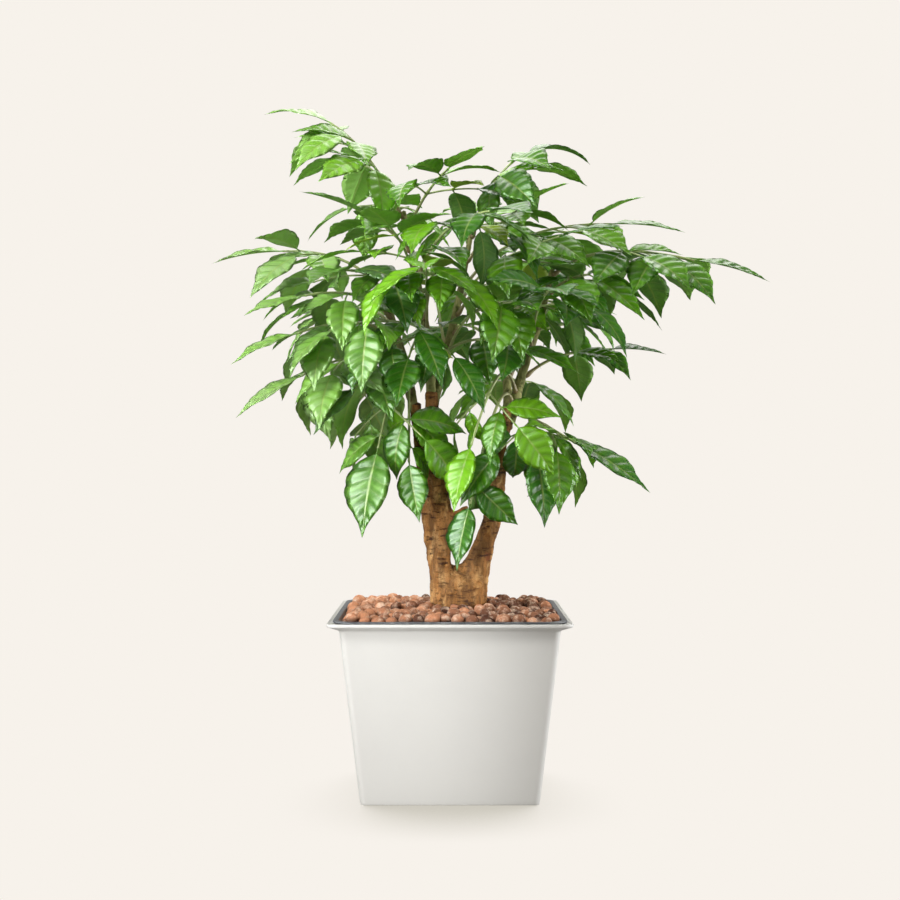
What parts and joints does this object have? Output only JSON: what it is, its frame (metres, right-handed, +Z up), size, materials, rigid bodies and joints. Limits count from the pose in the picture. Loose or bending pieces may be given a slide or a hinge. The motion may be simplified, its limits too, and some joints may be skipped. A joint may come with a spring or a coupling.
{
  "type": "potted china doll plant",
  "caption": "Leafy house plant with forked woody stems and arching compound leaves, in a square tapered white pot topped with clay pebbles.",
  "frame": {"origin": "middle of the white pot's underside, on the surface that the pot stands on", "axes": "+Z up the stems, +X to the right and -Y towards the viewer in the picture's view of the pot's front"},
  "size_m": [0.5155, 0.4196, 0.6238],
  "materials": {
    "white_pot": "satin",
    "grow_pot": "satin",
    "soil": "matte",
    "clay": "matte",
    "bark": "matte",
    "leaf": "gloss"
  },
  "bodies": {
    "root": {"clay_pebbles": "clay", "grow_pot": "grow_pot", "leaf_01": "leaf", "leaf_02": "leaf", "leaf_03": "leaf", "leaf_04": "leaf", "leaf_05": "leaf", "leaf_06": "leaf", "leaf_07": "leaf", "leaf_08": "leaf", "leaf_09": "leaf", "leaf_10": "leaf", "leaf_11": "leaf", "leaf_12": "leaf", "leaf_13": "leaf", "leaf_14": "leaf", "leaf_15": "leaf", "leaf_16": "leaf", "leaf_17": "leaf", "leaf_18": "leaf", "leaf_19": "leaf", "leaf_20": "leaf", "leaf_21": "leaf", "leaf_22": "leaf", "leaf_23": "leaf", "leaf_24": "leaf", "leaf_25": "leaf", "leaf_26": "leaf", "leaf_27": "leaf", "leaf_28": "leaf", "leaf_29": "leaf", "leaf_30": "leaf", "leaf_31": "leaf", "leaf_32": "leaf", "leaf_33": "leaf", "leaf_34": "leaf", "leaf_35": "leaf", "leaf_36": "leaf", "leaf_37": "leaf", "leaf_38": "leaf", "leaf_39": "leaf", "leaf_40": "leaf", "leaf_41": "leaf", "leaf_42": "leaf", "leaf_43": "leaf", "pot": "white_pot", "soil": "soil", "trunk": "bark"}
  },
  "joints": []
}
